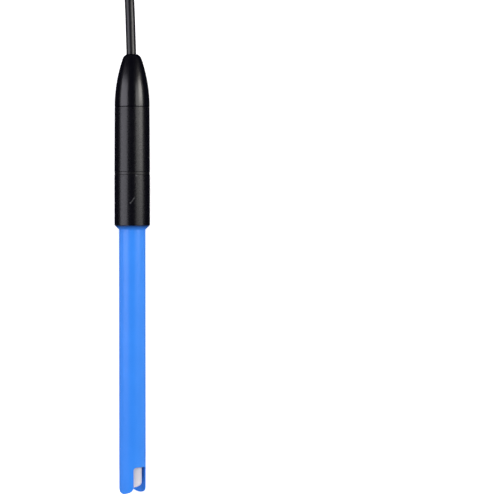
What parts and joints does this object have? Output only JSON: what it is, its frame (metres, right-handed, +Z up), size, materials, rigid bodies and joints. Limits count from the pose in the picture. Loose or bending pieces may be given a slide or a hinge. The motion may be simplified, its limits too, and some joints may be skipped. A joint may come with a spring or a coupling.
{
  "type": "ph electrode",
  "caption": "Slim blue pH electrode with an open pronged guard round its glass bulb, a black tapered head and a fixed cable that ends in a small round plug.",
  "frame": {"origin": "on the bench, under the middle of the electrode without its cable", "axes": "+Y along the electrode from its tip to its cable, +Z up from the bench, +X to the right"},
  "size_m": [0.0396, 0.3686, 0.0236],
  "materials": {
    "shaft_blue": "smooth moulded polymer, satin",
    "guard_glass": "clear to milky blown glass",
    "fluid": "clear filling",
    "head_black": "black moulded plastic, satin gloss",
    "boot_black": "black elastomer, satin",
    "cable_black": "black cable jacket, satin",
    "seal_rubber": "black seal rubber",
    "seal_white": "pale potting and stoppers",
    "porous": "porous white fibre",
    "silver": "drawn silver wire",
    "steel": "drawn steel tube",
    "board_green": "solder mask",
    "chip_black": "moulded chip package",
    "header_white": "moulded connector",
    "capacitor": "fired ceramic",
    "wire_red": "wire insulation",
    "contact_gold": "plated contact",
    "ring_metal": "plated ring",
    "tie_black": "woven strap",
    "plug_black": "overmoulded plug body"
  },
  "bodies": {
    "root": {"shaft": "shaft_blue", "glass_electrode": "guard_glass", "inner_buffer": "fluid", "gel_electrolyte": "fluid", "temperature_probe": "steel", "inner_wire": "silver", "reference_wire": "silver", "stem_cap": "seal_white", "tip_seal": "seal_white", "shaft_top_plug": "seal_white", "fibre_junction": "porous", "shaft_o_ring": "seal_rubber", "head_lower_shell": "head_black", "joint_gasket": "seal_rubber", "head_middle_shell": "head_black", "cable_boot": "boot_black", "cable_clamp": "steel", "circuit_board": "board_green", "sensor_header": "header_white", "cable_header": "header_white", "amplifier_chip": "chip_black", "converter_chip": "chip_black", "memory_chip": "chip_black", "board_capacitors": "capacitor", "sensor_leads": "wire_red", "cable_cores": "wire_red", "cable_tube": "cable_black", "cable_hank": "cable_black", "cable_tail": "cable_black", "hank_tie": "tie_black", "plug_relief": "plug_black", "plug_grip": "plug_black", "plug_ring": "ring_metal", "plug_insert": "chip_black", "plug_contacts": "contact_gold", "plug_seal": "seal_rubber"}
  },
  "joints": []
}
